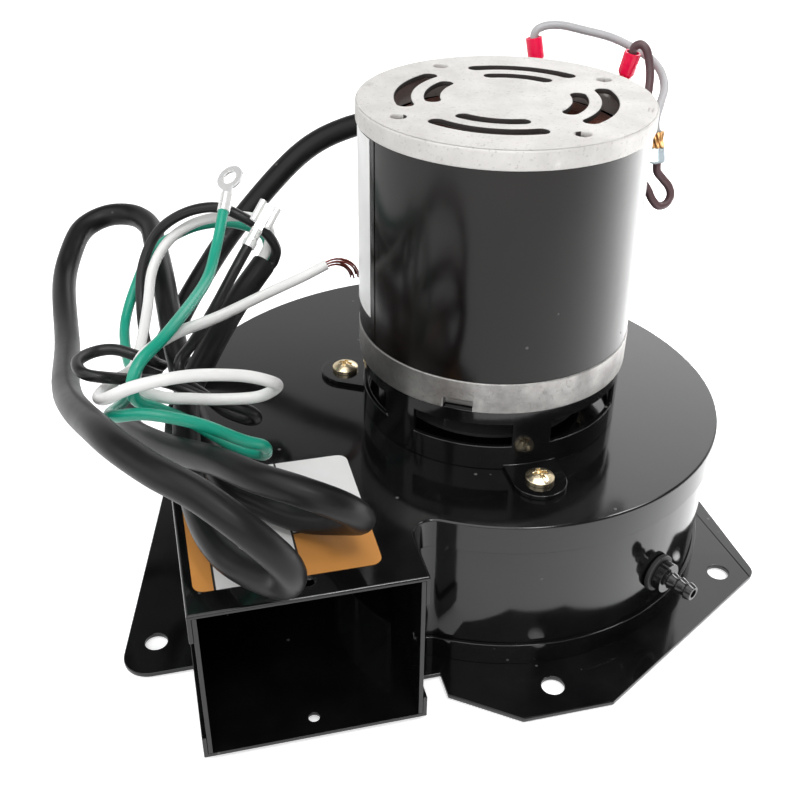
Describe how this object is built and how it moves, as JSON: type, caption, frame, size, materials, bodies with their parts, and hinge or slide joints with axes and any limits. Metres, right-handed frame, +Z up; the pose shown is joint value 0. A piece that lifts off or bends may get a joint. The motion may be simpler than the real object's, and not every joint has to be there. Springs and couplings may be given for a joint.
{
  "type": "furnace draft inducer",
  "caption": "Draft inducer blower: a scroll housing on a flat flange, with a caged impeller, a side outlet duct and a vertical motor with its capacitor and power cord on top.",
  "frame": {"origin": "on the motor axis, at the underside of the mounting plate, in the centre of the inlet", "axes": "+Z up the motor axis, the outlet duct's mouth faces -Y, +X to the right of the outlet"},
  "size_m": [0.2158, 0.2025, 0.159],
  "materials": {
    "black_paint": "gloss",
    "shell_paint": "gloss",
    "cast_alloy": "satin",
    "screw_brass": "satin",
    "screw_steel": "satin",
    "lamination": "matte",
    "winding_copper": "gloss",
    "bronze": "satin",
    "shaft_steel": "polished",
    "rotor_alloy": "satin",
    "sleeve_plastic": "matte",
    "fan_plastic": "matte",
    "zinc_sheet": "satin",
    "black_rubber": "matte",
    "black_plastic": "gloss",
    "capacitor_case": "satin",
    "tinned": "satin",
    "red_sleeve": "gloss",
    "lead_grey": "satin",
    "lead_brown": "satin",
    "splice_clear": "gloss",
    "cord_jacket": "matte",
    "core_white": "satin",
    "core_black": "satin",
    "core_green": "satin",
    "bare_copper": "satin"
  },
  "bodies": {
    "housing": {"mounting_plate": "black_paint", "bottom_pan": "black_paint", "scroll_wall": "black_paint", "top_cover": "black_paint", "motor_bracket": "black_paint", "bracket_screws": "screw_brass", "motor_screws": "screw_steel", "lower_end_bell": "cast_alloy", "motor_shell": "shell_paint", "upper_end_bell": "cast_alloy", "stator_core": "lamination", "stator_windings": "winding_copper", "lower_bearing": "bronze", "upper_bearing": "bronze", "tap_grommet": "black_rubber", "hose_barb": "black_plastic", "capacitor_body": "capacitor_case", "capacitor_terminals": "tinned", "capacitor_strap": "zinc_sheet", "terminal_sleeves": "red_sleeve", "lead_grey": "lead_grey", "lead_brown": "lead_brown", "lead_loop": "lead_brown", "splice_connector": "splice_clear", "lead_grommets": "black_rubber", "cord_relief": "black_rubber", "power_cord": "cord_jacket", "core_white": "core_white", "core_black": "core_black", "core_green": "core_green", "ring_terminal": "tinned", "blade_terminal": "tinned", "core_strands": "bare_copper"},
    "rotor": {"shaft": "shaft_steel", "rotor_core": "lamination", "rotor_end_rings": "rotor_alloy", "thrust_sleeves": "sleeve_plastic", "cooling_fan": "fan_plastic", "impeller_hub": "rotor_alloy", "impeller_set_screw": "screw_steel", "impeller_back_plate": "zinc_sheet", "impeller_blades": "zinc_sheet", "impeller_inlet_ring": "zinc_sheet"}
  },
  "joints": [
    {"name": "shaft_spin", "type": "hinge", "parent": "housing", "child": "rotor", "pos_m": [0, 0, 0], "axis": [0, 0, 1], "continuous": true}
  ]
}
